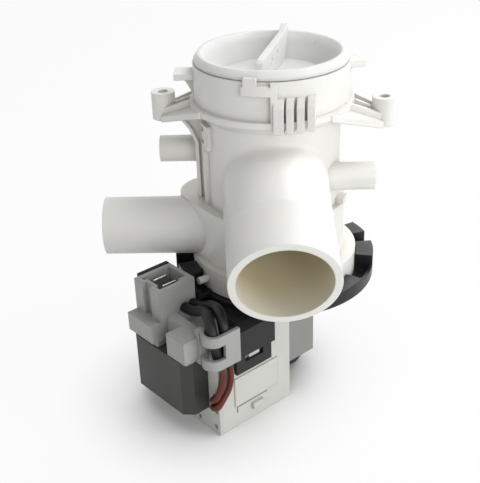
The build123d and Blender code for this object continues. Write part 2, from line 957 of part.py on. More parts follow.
# Motor head: the spigot that closes the pump bore, and the bayonet ring that grips the skirt
can_outer = can_bore + can_wall
can_seat = spigot_top - can_flange
with BuildPart() as motor_head:
    head_radius = skirt_radius - skirt_wall - head_clearance
    add_drum(pump_bore - spigot_clearance, head_plate_top, spigot_top)
    add_drum(head_radius, base_plate_bottom, head_plate_top)
    add_drum(base_plate_radius, base_plate_bottom, base_plate_top)
    add_block(
        mount_plate_from,
        mount_plate_to,
        -mount_plate_half,
        mount_plate_half,
        mount_plate_bottom,
        base_plate_bottom,
    )
    for turn in (0, 180):
        inner = skirt_radius + head_clearance
        add_sector(
            inner,
            bayonet_radius,
            turn + bayonet_from,
            turn + bayonet_to,
            bayonet_bottom,
            bayonet_bottom + bayonet_floor,
        )
        add_sector(
            bayonet_radius - bayonet_rim,
            bayonet_radius,
            turn + bayonet_from,
            turn + bayonet_to,
            bayonet_bottom,
            bayonet_rim_top,
        )
        for first, last, top in bayonet_blocks:
            add_sector(inner, bayonet_radius, turn + first, turn + last, bayonet_bottom, top)
    # Slots in the blocks, which the pegs of the skirt turn into
    for angle in peg_angles:
        slot_half = degrees((peg_radius + head_clearance) / skirt_radius)
        add_sector(
            inner,
            bayonet_radius - bayonet_rim,
            angle - slot_half,
            angle + peg_slot_turn,
            skirt_top - peg_drop - peg_radius - head_clearance,
            skirt_top - peg_drop + peg_radius + head_clearance,
            mode=Mode.SUBTRACT,
        )
    # Snap bracket down the side of the coil housing
    bracket_inner = coil_box_half + panel_proud + bracket_gap
    bracket_outer = bracket_inner + bracket_thickness
    add_block(
        bracket_from, bracket_to, bracket_inner, bracket_outer, bracket_mid, base_plate_bottom
    )
    add_block(
        bracket_from,
        bracket_to,
        mount_plate_half,
        bracket_outer,
        mount_plate_bottom,
        bracket_high,
    )
    add_block(
        bracket_from + bracket_step,
        bracket_to,
        bracket_inner,
        bracket_outer,
        bracket_low,
        bracket_mid,
    )
    add_block(
        slot_from, slot_to, bracket_inner, bracket_outer, slot_low, slot_high, mode=Mode.SUBTRACT
    )
    # Cheek beside the connector
    add_block(
        cheek_from,
        cheek_to,
        conn_left - cheek_gap - cheek_thickness,
        conn_left - cheek_gap,
        base_plate_bottom,
        cheek_high,
    )
    add_block(
        mount_plate_to - cheek_thickness,
        cheek_to,
        conn_left - cheek_gap - cheek_thickness,
        conn_left - cheek_gap,
        mount_plate_bottom,
        base_plate_bottom,
    )
    # Rests that stand on the poles of the core
    for side in (-1, 1):
        across = sorted((side * core_half, side * (core_half - rest_width)))
        add_block(rest_from, rest_to, *across, core_high + rest_gap, mount_plate_bottom)
    # Hole for the can, and the groove for the gasket
    add_drum(can_outer + can_clearance, mount_plate_bottom, spigot_top, mode=Mode.SUBTRACT)
    add_drum(can_flange_radius + can_clearance, can_seat, spigot_top, mode=Mode.SUBTRACT)
    with BuildSketch(level(head_plate_top - gasket_groove)):
        Circle(pump_wall_radius + seal_clearance)
        Circle(pump_bore - spigot_clearance, mode=Mode.SUBTRACT)
    extrude(amount=gasket_groove, mode=Mode.SUBTRACT)
finish(motor_head, "motor_head")

with BuildPart() as motor_gasket:
    with BuildSketch(level(head_plate_top - gasket_groove)):
        Circle(pump_wall_radius)
        Circle(pump_bore, mode=Mode.SUBTRACT)
    extrude(amount=skirt_floor - head_plate_top + gasket_groove)
finish(motor_gasket, "motor_gasket")


# Rotor can: the sealed tube that the rotor runs in, wet inside and dry outside
can_floor = can_bottom + can_wall
with BuildPart() as rotor_can:
    add_drum(can_outer, can_bottom, spigot_top)
    add_drum(can_flange_radius, can_seat, spigot_top)
    add_drum(can_bore, can_floor, spigot_top, mode=Mode.SUBTRACT)
finish(rotor_can, "rotor_can")

# Bearings: a bush in a rubber holder at each end of the can
front_bush_low = spigot_top - holder_drop - bush_length
bearings = {
    "front": (front_bush_low, front_bush_low + bush_length),
    "rear": (can_floor, can_floor + bush_length),
}
bush_bore = shaft_radius + shaft_clearance
for place, (low, high) in bearings.items():
    with BuildPart() as bush:
        add_drum(bush_radius, low, high)
        add_drum(bush_bore, low, high, mode=Mode.SUBTRACT)
    finish(bush, place + "_bearing")
    with BuildPart() as holder:
        add_drum(can_bore - holder_clearance, low, high)
        add_drum(bush_radius + holder_clearance, low, high, mode=Mode.SUBTRACT)
    finish(holder, place + "_bearing_holder")

# Rotor: magnet on its shaft between thrust washers
magnet_middle = (core_low + core_high) / 2
magnet_low = magnet_middle - magnet_length / 2
magnet_high = magnet_middle + magnet_length / 2
shaft_low = bearings["rear"][0] + holder_clearance
hub_low = bearings["rear"][1] + washer_thickness + washer_play
hub_high = bearings["front"][0] - washer_thickness - washer_play
with BuildPart() as rotor_shaft:
    add_drum(shaft_radius, shaft_low, drive_top)
finish(rotor_shaft, "rotor_shaft")

with BuildPart() as rotor_magnet:
    add_drum(magnet_radius, magnet_low, magnet_high)
    add_drum(magnet_hub_radius, hub_low, hub_high)
    add_drum(shaft_radius, hub_low, hub_high, mode=Mode.SUBTRACT)
finish(rotor_magnet, "rotor_magnet")

with BuildPart() as thrust_washers:
    for low in (bearings["rear"][1], bearings["front"][0] - washer_thickness):
        add_drum(washer_radius, low, low + washer_thickness)
    add_drum(shaft_radius + shaft_clearance, shaft_low, spigot_top, mode=Mode.SUBTRACT)
finish(thrust_washers, "thrust_washers")

# Drive dog on the shaft, with a rubber damper over its tooth
cavity_low = spigot_top + impeller_floor_gap
dog_low = cavity_low + dog_lift
with BuildPart() as drive_dog:
    add_drum(dog_radius, dog_low, dog_low + dog_height)
    add_sector(shaft_radius + wall / 4, dog_reach - damper_wall, -dog_half_angle, dog_half_angle,
               dog_low, dog_low + dog_height)
    add_drum(shaft_radius, dog_low, dog_low + dog_height, mode=Mode.SUBTRACT)
finish(drive_dog, "drive_dog")

with BuildPart() as dog_damper:
    add_sector(dog_radius + holder_clearance, dog_reach, -damper_half_angle, damper_half_angle,
               dog_low, dog_low + dog_height)
    add_sector(dog_radius - damper_wall, dog_reach - damper_wall + holder_clearance,
               -dog_half_angle - damper_gap_angle, dog_half_angle + damper_gap_angle,
               dog_low, dog_low + dog_height, mode=Mode.SUBTRACT)
finish(dog_damper, "dog_damper")

# Impeller: straight vanes on a disc, its hub hollow round the dog
cavity_high = cavity_low + drive_cavity_height
with BuildPart() as impeller:
    add_drum(impeller_radius, cavity_low, cavity_low + impeller_disc)
    with BuildSketch(level(cavity_low)):
        with PolarLocations(impeller_radius / 2, impeller_vanes):
            Rectangle(impeller_radius, vane_thickness)
        Circle(impeller_radius, mode=Mode.INTERSECT)
    extrude(amount=impeller_top - cavity_low)
    add_drum(drive_hub_radius, cavity_low, impeller_top)
    add_drum(drive_cavity_radius, cavity_low, cavity_high, mode=Mode.SUBTRACT)
    add_drum(shaft_radius + shaft_clearance, cavity_low, drive_top + overrun, mode=Mode.SUBTRACT)
    add_sector(dog_radius + filter_clearance, drive_hub_radius - wall / 4,
               180 - stop_half_angle, 180 + stop_half_angle, cavity_low, cavity_high)
finish(impeller, "impeller")


# Stator core: a U of laminations lying flat, its poles round the can
inner_half = core_half - leg_width
core_bore = can_outer + core_bore_gap
with BuildPart() as stator_core:
    with BuildSketch(motor_plane(0, 0, core_low)):
        with BuildLine():
            Polyline(
                (core_start, -core_half + core_chamfer),
                (core_start + core_chamfer, -core_half),
                (core_end - core_chamfer, -core_half),
                (core_end, -core_half + core_chamfer),
                (core_end, core_half - core_chamfer),
                (core_end - core_chamfer, core_half),
                (core_start + core_chamfer, core_half),
                (core_start, core_half - core_chamfer),
                (core_start, pole_gap / 2),
                (pole_reach, pole_gap / 2),
                (pole_reach + inner_half - pole_gap / 2, inner_half),
                (core_end - yoke_depth, inner_half),
                (core_end - yoke_depth, -inner_half),
                (pole_reach + inner_half - pole_gap / 2, -inner_half),
                (pole_reach, -pole_gap / 2),
                (core_start, -pole_gap / 2),
                (core_start, -core_half + core_chamfer),
            )
        make_face()
        Circle(core_bore, mode=Mode.SUBTRACT)
    extrude(amount=core_high - core_low)
    with BuildSketch(motor_plane(core_end - yoke_depth / 2, 0, core_low)):
        with Locations((0, -rivet_spread), (0, rivet_spread)):
            Circle(rivet_radius)
    extrude(amount=core_high - core_low, mode=Mode.SUBTRACT)
finish(stator_core, "stator_core")

with BuildPart() as core_rivets:
    rivet_places = [(0, -rivet_spread), (0, rivet_spread)]
    with BuildSketch(motor_plane(core_end - yoke_depth / 2, 0, core_low)):
        with Locations(*rivet_places):
            Circle(rivet_radius)
    extrude(amount=core_high - core_low)
    for low in (core_low - rivet_head, core_high):
        with BuildSketch(motor_plane(core_end - yoke_depth / 2, 0, low)):
            with Locations(*rivet_places):
                Circle(rivet_head_radius)
        extrude(amount=rivet_head)
finish(core_rivets, "core_rivets")


# Coils: a bobbin round each leg, with its winding
bobbin_from = pole_reach + inner_half - pole_gap / 2 + bobbin_gap
leg_middle = (core_half + inner_half) / 2
core_middle = (core_low + core_high) / 2
tube_width = leg_width + 2 * (core_clearance + bobbin_wall)
tube_height = core_high - core_low + 2 * (core_clearance + bobbin_wall)
for name, side in (("a", -1), ("b", 1)):
    across = side * leg_middle
    upright = Plane(
        origin=motor_point(bobbin_from, across, core_middle),
        x_dir=motor_point(0, 1, 0),
        z_dir=motor_point(1, 0, 0),
    )
    with BuildPart() as bobbin:
        with BuildSketch(upright):
            Rectangle(tube_width, tube_height)
        extrude(amount=bobbin_to - bobbin_from)
        for start in (0, bobbin_to - bobbin_from - bobbin_flange):
            with BuildSketch(upright.offset(start)):
                flange_reach = 2 * (winding_depth + winding_cover)
                Rectangle(tube_width + flange_reach, tube_height + flange_reach)
            extrude(amount=bobbin_flange)
        with BuildSketch(upright):
            Rectangle(leg_width + 2 * core_clearance, core_high - core_low + 2 * core_clearance)
        extrude(amount=bobbin_to - bobbin_from, mode=Mode.SUBTRACT)
    finish(bobbin, "bobbin_" + name)
    with BuildPart() as winding:
        with BuildSketch(upright.offset(bobbin_flange)):
            RectangleRounded(
                tube_width + 2 * winding_depth, tube_height + 2 * winding_depth, winding_corner
            )
            Rectangle(tube_width, tube_height, mode=Mode.SUBTRACT)
        extrude(amount=bobbin_to - bobbin_from - 2 * bobbin_flange)
    finish(winding, "winding_" + name)


# Coil housing: a box round both coils, closed by an end plate that the leads go through
lead_heights = (lead_a_height, lead_b_height)
plate_from = coil_box_to - coil_box_wall
lead_radius = lead_diameter / 2
leg_ports = [side * leg_middle for side in (-1, 1)]
pole_side = pole_gap / 2 - core_clearance
sorted_sides = ((-leg_middle, -pole_side), (pole_side, leg_middle))


def cut_leg_ports(low, high):
    """Open the end of the coil housing round both legs of the core."""
    for across in leg_ports:
        add_block(
            low,
            high,
            across - leg_width / 2 - core_clearance,
            across + leg_width / 2 + core_clearance,
            core_low - core_clearance,
            core_high + core_clearance,
            mode=Mode.SUBTRACT,
        )


with BuildPart() as coil_housing:
    add_block(coil_box_from, plate_from, -coil_box_half, coil_box_half, coil_box_low, coil_box_high)
    corners = coil_housing.edges().filter_by(
        lambda edge: abs(abs((edge @ 0 - edge @ 1).Z) - coil_box_high + coil_box_low) < overrun / 9
    )
    fillet(corners.sort_by_distance(motor_point(coil_box_from, 0, 0))[:2], coil_box_corner)
    inside = coil_box_half - coil_box_wall
    add_block(
        coil_box_from + coil_box_wall,
        plate_from,
        -inside,
        inside,
        coil_box_low + coil_box_wall,
        coil_box_high - coil_box_wall,
        mode=Mode.SUBTRACT,
    )
    cut_leg_ports(coil_box_from, coil_box_from + coil_box_wall)
    # The rear wall is open as wide as the poles are
    for across in sorted_sides:
        add_block(
            coil_box_from,
            coil_box_from + coil_box_wall,
            *across,
            core_low - core_clearance,
            core_high + core_clearance,
            mode=Mode.SUBTRACT,
        )
    # Groove with a short leg in each long side, and the raised panel, catch and lower clip
    channels = (
        (channel_from, channel_to, channel_height - channel_width / 2, channel_height + channel_width / 2),
        (channel_to - channel_width, channel_to, channel_height - channel_leg, channel_height),
    )
    for side in (-1, 1):
        face = side * coil_box_half
        across = sorted((face - side * channel_depth, face + side * overrun))
        for start, stop, low, high in channels:
            add_block(start, stop, *across, low, high, mode=Mode.SUBTRACT)
        for low, high, along, proud in (
            (panel_low, panel_high, (panel_from, panel_to), panel_proud),
            (slot_low + latch_gap, slot_high - latch_gap, (latch_from, latch_to), catch_proud),
            (clip_low_from, clip_low_to, (clip_low_start, clip_low_end), catch_proud),
        ):
            across = sorted((face - side * coil_box_wall / 2, face + side * proud))
            add_block(*along, *across, low, high)
finish(coil_housing, "coil_housing")

with BuildPart() as coil_end_plate:
    add_block(plate_from, coil_box_to, -coil_box_half, coil_box_half, coil_box_low, coil_box_high)
    cut_leg_ports(plate_from, coil_box_to)
    upright = Plane(
        origin=motor_point(plate_from, 0, 0), x_dir=motor_point(0, 1, 0), z_dir=motor_point(1, 0, 0)
    )
    flip = 1 if upright.y_dir.Z > 0 else -1
    probe_holes = [
        (across * coil_box_half, flip * (coil_box_low + up * coil_box_height))
        for across, up in probe_shares
    ]
    with BuildSketch(upright):
        with Locations(*[(lead_entry, flip * height) for height in lead_heights]):
            Circle(lead_radius + lead_port_gap)
        with Locations(*probe_holes):
            Circle(probe_radius)
    extrude(amount=coil_box_wall, mode=Mode.SUBTRACT)
finish(coil_end_plate, "coil_end_plate")

with BuildPart() as coil_terminals:
    for height in lead_heights:
        add_block(
            bobbin_to,
            plate_from - terminal_gap,
            lead_entry - terminal_radius,
            lead_entry + terminal_radius,
            height - terminal_radius,
            height + terminal_radius,
        )
finish(coil_terminals, "coil_terminals")

with BuildPart() as thermal_cutout:
    cutout_low = coil_box_low + coil_box_wall + holder_clearance
    add_block(
        cutout_from,
        cutout_from + cutout_length,
        -cutout_width / 2,
        cutout_width / 2,
        cutout_low,
        cutout_low + cutout_height,
    )
finish(thermal_cutout, "thermal_cutout")


# Connector: a keyed tower on a base over the yoke, with an arm and a clip for the leads
blade_places = [conn_middle - blade_pitch / 2, conn_middle + blade_pitch / 2]
socket_floor = conn_high - conn_socket
blade_from = (conn_from + conn_to - blade_width) / 2
with BuildPart() as connector_housing:
    add_block(conn_from, conn_to, conn_left, conn_right, base_high, conn_high)
    add_block(conn_from, base_from, conn_left, conn_right, base_rear_low, base_high)
    add_block(base_from, base_to, conn_left, conn_right, base_low, base_high)
    add_block(
        base_from + wall / 4,
        core_end - wall / 4,
        conn_left + wall / 4,
        conn_right - wall / 4,
        core_high + rest_gap,
        base_low,
    )
    # Arm towards the leads, and the strap that holds them
    add_block(arm_from, base_to, arm_left, arm_right, arm_low, arm_high)
    add_block(base_from, arm_web_to, conn_right, arm_right, arm_low, arm_high)
    add_block(arm_from, core_end - wall / 4, arm_left, core_half, core_high + rest_gap, arm_low)
    strap_outer = (clip_face - arm_right) / 2
    with BuildSketch(motor_plane(clip_turn_at, arm_right + strap_outer, clip_low)):
        Circle(strap_outer)
        with Locations((-strap_outer, 0)):
            Rectangle(2 * strap_outer, 2 * strap_outer, mode=Mode.SUBTRACT)
        with Locations(((clip_from - clip_turn_at) / 2, strap_outer - clip_thickness / 2)):
            Rectangle(clip_turn_at - clip_from, clip_thickness)
        Circle(strap_outer - clip_thickness, mode=Mode.SUBTRACT)
    extrude(amount=clip_high - clip_low)
    add_block(
        clip_turn_at,
        clip_turn_at + strap_foot_length,
        arm_right - strap_foot + clip_thickness,
        arm_right + clip_thickness,
        clip_low,
        clip_high,
    )
    # Pockets in the feet for the heads of the core's rivets
    with BuildSketch(motor_plane(core_end - yoke_depth / 2, 0, core_high)):
        with Locations((0, -rivet_spread), (0, rivet_spread)):
            Circle(rivet_head_radius + head_clearance)
    extrude(amount=rivet_head + head_clearance, mode=Mode.SUBTRACT)
    add_block(
        clip_window_from,
        clip_turn_at + strap_outer + overrun,
        arm_right + clip_thickness,
        clip_face + overrun,
        clip_window_low,
        clip_window_high,
        mode=Mode.SUBTRACT,
    )
    # Socket, its keys, the groove outside and the slots for the blades
    add_block(
        conn_from + conn_wall,
        conn_to - conn_wall,
        conn_left + conn_wall,
        conn_right - conn_wall,
        socket_floor,
        conn_high,
        mode=Mode.SUBTRACT,
    )
    add_block(
        conn_to - conn_wall - conn_key_depth,
        conn_to - conn_wall,
        conn_key_from - conn_key_wall,
        conn_key_to + conn_key_wall,
        socket_floor,
        conn_high,
    )
    add_block(
        conn_to - conn_key_depth - conn_key_wall / 2,
        conn_to,
        conn_key_from,
        conn_key_to,
        base_high,
        conn_high,
        mode=Mode.SUBTRACT,
    )
    add_block(
        conn_from + conn_wall,
        conn_from + conn_wall + conn_side_key,
        conn_right - conn_wall - conn_key_depth,
        conn_right - conn_wall,
        socket_floor,
        conn_high,
    )
    for across in blade_places:
        add_block(
            blade_from - holder_clearance,
            blade_from + blade_width + holder_clearance,
            across - blade_thickness / 2 - holder_clearance,
            across + blade_thickness / 2 + holder_clearance,
            conn_high - blade_top_gap - blade_length,
            socket_floor,
            mode=Mode.SUBTRACT,
        )
    # Pockets that the two leads come out of
    for along in (lead_a_points[0][0], lead_b_points[0][0]):
        pocket_plane = Plane(
            origin=motor_point(along, lead_start - lead_port_gap, lead_start_height),
            z_dir=motor_point(0, 1, 0),
        )
        with BuildSketch(pocket_plane):
            Circle(lead_radius + lead_port_gap)
        pocket_depth = conn_right - lead_start + lead_port_gap
        extrude(amount=pocket_depth, mode=Mode.SUBTRACT)
finish(connector_housing, "connector_housing")

with BuildPart() as blade_terminals:
    for across in blade_places:
        add_block(
            blade_from,
            blade_from + blade_width,
            across - blade_thickness / 2,
            across + blade_thickness / 2,
            conn_high - blade_top_gap - blade_length,
            conn_high - blade_top_gap,
        )
    chamfer(blade_terminals.edges().group_by(Axis.Z)[-1], blade_thickness / 3)
finish(blade_terminals, "blade_terminals")


# Leads: straight runs joined by tangent arcs, each arc as large as its two runs allow
def route(points):
    """The lead's line, with the radii of its arcs."""
    places = [motor_point(*point) for point in points]
    radii = []
    for before, here, after in zip(places, places[1:], places[2:]):
        turn = radians((here - before).get_angle(after - here))
        shorter = min((here - before).length, (after - here).length)
        radii.append(arc_share * shorter / tan(turn / 2))
    return places, radii


for name, points in (("a", lead_a_points), ("b", lead_b_points)):
    places, radii = route(points)
    path = FilletPolyline(*places, radius=radii)
    section = Plane(origin=path @ 0, z_dir=path % 0)
    with BuildPart() as lead:
        with BuildSketch(section):
            Circle(lead_radius)
        sweep(path=path)
    print("lead", name, "arc radii", [round(radius, 1) for radius in radii])
    print("lead", name, "volume share", round(lead.part.volume / (pi * lead_radius**2 * path.length), 4))
    finish(lead, "lead_" + name)
    # The sleeve covers the lead from near the connector to the clip
    first = places[0] + (places[1] - places[0]) * sleeve_start_share
    last = places[sleeve_corners] + (places[sleeve_corners + 1] - places[sleeve_corners]) * sleeve_end_share
    sleeve_path = FilletPolyline(
        first, *places[1 : sleeve_corners + 1], last, radius=radii[:sleeve_corners]
    )
    with BuildPart() as sleeve:
        with BuildSketch(Plane(origin=sleeve_path @ 0, z_dir=sleeve_path % 0)):
            Circle(lead_radius + sleeve_gap + sleeve_wall)
            Circle(lead_radius + sleeve_gap, mode=Mode.SUBTRACT)
        sweep(path=sleeve_path)
    finish(sleeve, "lead_sleeve_" + name)
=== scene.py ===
"""Washer drain pump: the finishes, camera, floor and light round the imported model.

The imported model's own axes hold here: Z points up to the filter cap and the inlet points to -Y.
Lengths are in metres. MM turns millimetres into them.
"""
import json
from math import cos, pi, radians, sin

import bmesh
import bpy
from mathutils import Matrix, Vector


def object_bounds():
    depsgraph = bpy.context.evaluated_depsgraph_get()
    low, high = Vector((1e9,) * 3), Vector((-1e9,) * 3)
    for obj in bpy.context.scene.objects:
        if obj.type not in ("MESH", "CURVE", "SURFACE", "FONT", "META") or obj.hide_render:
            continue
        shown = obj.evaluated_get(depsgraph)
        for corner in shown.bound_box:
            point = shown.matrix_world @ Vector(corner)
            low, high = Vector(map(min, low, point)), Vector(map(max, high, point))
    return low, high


MM = 0.001

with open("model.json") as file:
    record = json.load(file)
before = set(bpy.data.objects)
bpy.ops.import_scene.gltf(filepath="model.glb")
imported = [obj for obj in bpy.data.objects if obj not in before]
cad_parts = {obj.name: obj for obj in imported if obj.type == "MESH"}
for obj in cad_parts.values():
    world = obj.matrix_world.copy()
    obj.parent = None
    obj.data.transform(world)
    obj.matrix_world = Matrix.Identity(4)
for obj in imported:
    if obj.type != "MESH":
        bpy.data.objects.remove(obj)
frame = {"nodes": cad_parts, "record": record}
nodes = frame["nodes"]
cad_box = [list(corner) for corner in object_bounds()]

# Lines of the pump: the inlet's, as its hose mount states it, and the motor's, turned from -Y
mounts = {mount["name"]: mount for mount in frame["record"]["mounts"]}
INLET_SEAT = mounts["inlet_hose_stub"]["pos_m"]
INLET_AXIS = mounts["inlet_hose_stub"]["axis"]
MOTOR_TURN = radians(39.4)
MOTOR_START = (0, 0, 0)
MOTOR_AXIS = (-sin(MOTOR_TURN), -cos(MOTOR_TURN), 0)


# Shader helpers
class Finish:
    """A Principled material whose pattern lies on the object coordinates of its piece."""

    def __init__(self, name, color, roughness, **sockets):
        self.material = bpy.data.materials.new(name)
        self.material.use_nodes = True
        self.material.diffuse_color = (*color, 1)
        self.tree = self.material.node_tree
        self.shader = self.tree.nodes["Principled BSDF"]
        self.shader.inputs["Base Color"].default_value = (*color, 1)
        self.shader.inputs["Roughness"].default_value = roughness
        for socket, value in sockets.items():
            self.shader.inputs[socket.replace("_", " ")].default_value = value
        self.color = color
        self.normal = None
        self.place = self.add("ShaderNodeTexCoord").outputs["Object"]

    def add(self, kind, **settings):
        node = self.tree.nodes.new(kind)
        for key, value in settings.items():
            setattr(node, key, value)
        return node

    def link(self, source, socket):
        self.tree.links.new(source, socket)

    def noise(self, scale, detail, stretch=None):
        """Noise whose scale is in 1/m, stretched along the axes when asked."""
        place = self.place
        if stretch:
            mapping = self.add("ShaderNodeMapping")
            mapping.inputs["Scale"].default_value = stretch
            self.link(place, mapping.inputs["Vector"])
            place = mapping.outputs["Vector"]
        noise = self.add("ShaderNodeTexNoise")
        noise.inputs["Scale"].default_value = scale
        noise.inputs["Detail"].default_value = detail
        self.link(place, noise.inputs["Vector"])
        return noise.outputs["Fac"]

    def bands(self, direction, scale, distortion=0.0):
        """Even bands across one axis, as stacked sheets or wound wire show them."""
        wave = self.add("ShaderNodeTexWave", wave_type="BANDS", bands_direction=direction)
        wave.inputs["Scale"].default_value = scale
        wave.inputs["Distortion"].default_value = distortion
        self.link(self.place, wave.inputs["Vector"])
        return wave.outputs["Fac"]

    def remap(self, value, low, high, to_low, to_high):
        node = self.add("ShaderNodeMapRange")
        node.inputs["From Min"].default_value = low
        node.inputs["From Max"].default_value = high
        node.inputs["To Min"].default_value = to_low
        node.inputs["To Max"].default_value = to_high
        self.link(value, node.inputs["Value"])
        return node.outputs["Result"]

    def multiply(self, first, second):
        node = self.add("ShaderNodeMath", operation="MULTIPLY")
        self.link(first, node.inputs[0])
        self.link(second, node.inputs[1])
        return node.outputs["Value"]

    def offset(self, point):
        """The way from a fixed point to the place that is shaded."""
        node = self.add("ShaderNodeVectorMath", operation="SUBTRACT")
        self.link(self.place, node.inputs[0])
        node.inputs[1].default_value = point
        return node.outputs["Vector"]

    def distance_along(self, point, axis):
        """How far along an axis the place lies, counted from a point on it."""
        node = self.add("ShaderNodeVectorMath", operation="DOT_PRODUCT")
        self.link(self.offset(point), node.inputs[0])
        node.inputs[1].default_value = axis
        return node.outputs["Value"]

    def distance_aside(self, point, axis):
        """How far from an axis the place lies."""
        offset = self.offset(point)
        along = self.add("ShaderNodeVectorMath", operation="PROJECT")
        self.link(offset, along.inputs[0])
        along.inputs[1].default_value = axis
        aside = self.add("ShaderNodeVectorMath", operation="SUBTRACT")
        self.link(offset, aside.inputs[0])
        self.link(along.outputs["Vector"], aside.inputs[1])
        length = self.add("ShaderNodeVectorMath", operation="LENGTH")
        self.link(aside.outputs["Vector"], length.inputs[0])
        return length.outputs["Value"]

    def tint(self, share, color):
        """Blend the colour so far with another, by a share that varies over the surface."""
        mix = self.add("ShaderNodeMix", data_type="RGBA")
        self.link(share, mix.inputs["Factor"])
        base = self.shader.inputs["Base Color"]
        if base.links:
            self.link(base.links[0].from_socket, mix.inputs["A"])
        else:
            mix.inputs["A"].default_value = (*self.color, 1)
        mix.inputs["B"].default_value = (*color, 1)
        self.link(mix.outputs["Result"], base)

    def rough(self, pattern, low, high):
        """Let the roughness vary between two values over the middle of a pattern."""
        self.link(self.remap(pattern, 0.3, 0.7, low, high), self.shader.inputs["Roughness"])

    def bump(self, height, depth):
        """Add relief of the given depth on top of what is there."""
        bump = self.add("ShaderNodeBump")
        bump.inputs["Distance"].default_value = depth
        bump.inputs["Strength"].default_value = 1.0
        self.link(height, bump.inputs["Height"])
        if self.normal:
            self.link(self.normal, bump.inputs["Normal"])
        self.normal = bump.outputs["Normal"]
        self.link(self.normal, self.shader.inputs["Normal"])

    def soft_edges(self, radius):
        """Round the light on sharp edges, before any relief is added."""
        bevel = self.add("ShaderNodeBevel", samples=4)
        bevel.inputs["Radius"].default_value = radius
        self.normal = bevel.outputs["Normal"]
        self.link(self.normal, self.shader.inputs["Normal"])

    def cavity(self, distance, color, strength, closed=0.3, open_at=0.9):
        """Gather a little dust and shade where other surfaces come within the distance."""
        occlusion = self.add("ShaderNodeAmbientOcclusion", samples=6)
        occlusion.inputs["Distance"].default_value = distance
        self.tint(self.remap(occlusion.outputs["AO"], closed, open_at, strength, 0.0), color)

    def scatter(self, weight, depth, radius):
        """Let light into the plastic, as deep as given for red and less for green and blue."""
        self.shader.inputs["Subsurface Weight"].default_value = weight
        self.shader.inputs["Subsurface Scale"].default_value = depth
        self.shader.inputs["Subsurface Radius"].default_value = radius


# Moulded plastics
FLOW_SCALE, FLOW_SHADE = 35, 0.93
WEAR_SCALE = 90
PEEL_SCALE, PEEL_DEPTH = 1600, 0.012 * MM
RIPPLE_SCALE, RIPPLE_DEPTH = 160, 0.03 * MM
# Reach of the corner tint, which stands for dust and painted shade together
DUST_AND_SHADE_REACH = 3 * MM


def moulded(name, color, roughness, edge, dust_and_shade, dust_and_shade_share, **sockets):
    """Moulded plastic: soft edges, a faint flow pattern, corners tinted with dust and painted
    shade, and a fine orange peel.
    """
    finish = Finish(name, color, roughness, **sockets)
    finish.soft_edges(edge)
    flow = finish.remap(finish.noise(FLOW_SCALE, detail=2), 0.35, 0.7, 0.0, 0.5)
    finish.tint(flow, [channel * FLOW_SHADE for channel in color])
    # Dust and painted shade: corners where other surfaces come close take the given colour
    finish.cavity(DUST_AND_SHADE_REACH, dust_and_shade, dust_and_shade_share)
    finish.rough(finish.noise(WEAR_SCALE, detail=4), roughness - 0.07, roughness + 0.08)
    finish.bump(finish.noise(PEEL_SCALE, detail=2), PEEL_DEPTH)
    finish.bump(finish.noise(RIPPLE_SCALE, detail=2), RIPPLE_DEPTH)
    return finish


# Painted shade in the inlet's bore: radii from its axis, and reaches along it from the middle of
# the seat
BORE_SHADE = (0.67, 0.60, 0.42)
BORE_SHADE_RADIUS, BORE_SHADE_EDGE = 18.1 * MM, 18.6 * MM
BORE_SHADE_MOUTH, BORE_SHADE_DEEP, BORE_SHADE_FADE, BORE_SHADE_END = 11.8 * MM, -4.2 * MM, -24.2 * MM, -28.2 * MM
BORE_SHADE_MOUTH_SHARE, BORE_SHADE_DEEP_SHARE = 0.4, 0.98


def shade_inlet_bore(finish):
    """Paint shade into the bore of the inlet tube, lightly at its mouth and fully inside."""
    aside = finish.distance_aside(INLET_SEAT, INLET_AXIS)
    reach = finish.distance_along(INLET_SEAT, INLET_AXIS)
    inside = finish.remap(aside, BORE_SHADE_RADIUS, BORE_SHADE_EDGE, 1.0, 0.0)
    deep = finish.remap(reach, BORE_SHADE_MOUTH, BORE_SHADE_DEEP, BORE_SHADE_MOUTH_SHARE, BORE_SHADE_DEEP_SHARE)
    in_front = finish.remap(reach, BORE_SHADE_END, BORE_SHADE_FADE, 0.0, 1.0)
    # Painted shade: the bore turns warmer and darker towards its depth
    finish.tint(finish.multiply(finish.multiply(inside, deep), in_front), BORE_SHADE)


def housing_plastic():
    finish = moulded(
        "white_polypropylene",
        (0.77, 0.765, 0.735),
        0.36,
        edge=0.6 * MM,
        dust_and_shade=(0.42, 0.41, 0.37),
        dust_and_shade_share=0.35,
    )
    # Painted shade: a warm, darker tint deep in recesses such as the inlet and the chamber, where
    # surfaces within 34 mm close in
    finish.cavity(34 * MM, (0.56, 0.54, 0.48), 0.45, closed=0.2, open_at=0.65)
    shade_inlet_bore(finish)
    finish.scatter(0.12, 2 * MM, (1.0, 0.9, 0.7))
    return finish.material


def cap_plastic():
    finish = moulded(
        "milky_cap",
        (0.72, 0.725, 0.71),
        0.34,
        edge=0.4 * MM,
        dust_and_shade=(0.5, 0.5, 0.47),
        dust_and_shade_share=0.15,
    )
    finish.scatter(0.5, 6 * MM, (1.0, 0.95, 0.85))
    return finish.material


def head_plastic():
    return moulded(
        "black_plastic",
        (0.009, 0.009, 0.010),
        0.38,
        edge=0.6 * MM,
        dust_and_shade=(0.016, 0.016, 0.015),
        dust_and_shade_share=0.3,
        Specular_IOR_Level=0.35,
    ).material


def connector_plastic():
    return moulded(
        "mid_grey_plastic",
        (0.345, 0.35, 0.335),
        0.42,
        edge=0.7 * MM,
        dust_and_shade=(0.13, 0.13, 0.12),
        dust_and_shade_share=0.35,
    ).material


def coil_housing_plastic():
    return moulded(
        "light_grey_plastic",
        (0.56, 0.565, 0.53),
        0.45,
        edge=0.8 * MM,
        dust_and_shade=(0.36, 0.35, 0.31),
        dust_and_shade_share=0.15,
    ).material


# Metals, wire and rubber. A wave texture runs through WAVE_RATE radians per unit of length and
# scale, and each sheet takes half a band.
SHEET = 0.5 * MM
WAVE_RATE = 20
POLES_FROM, POLES_FADE = 12 * MM, 30 * MM


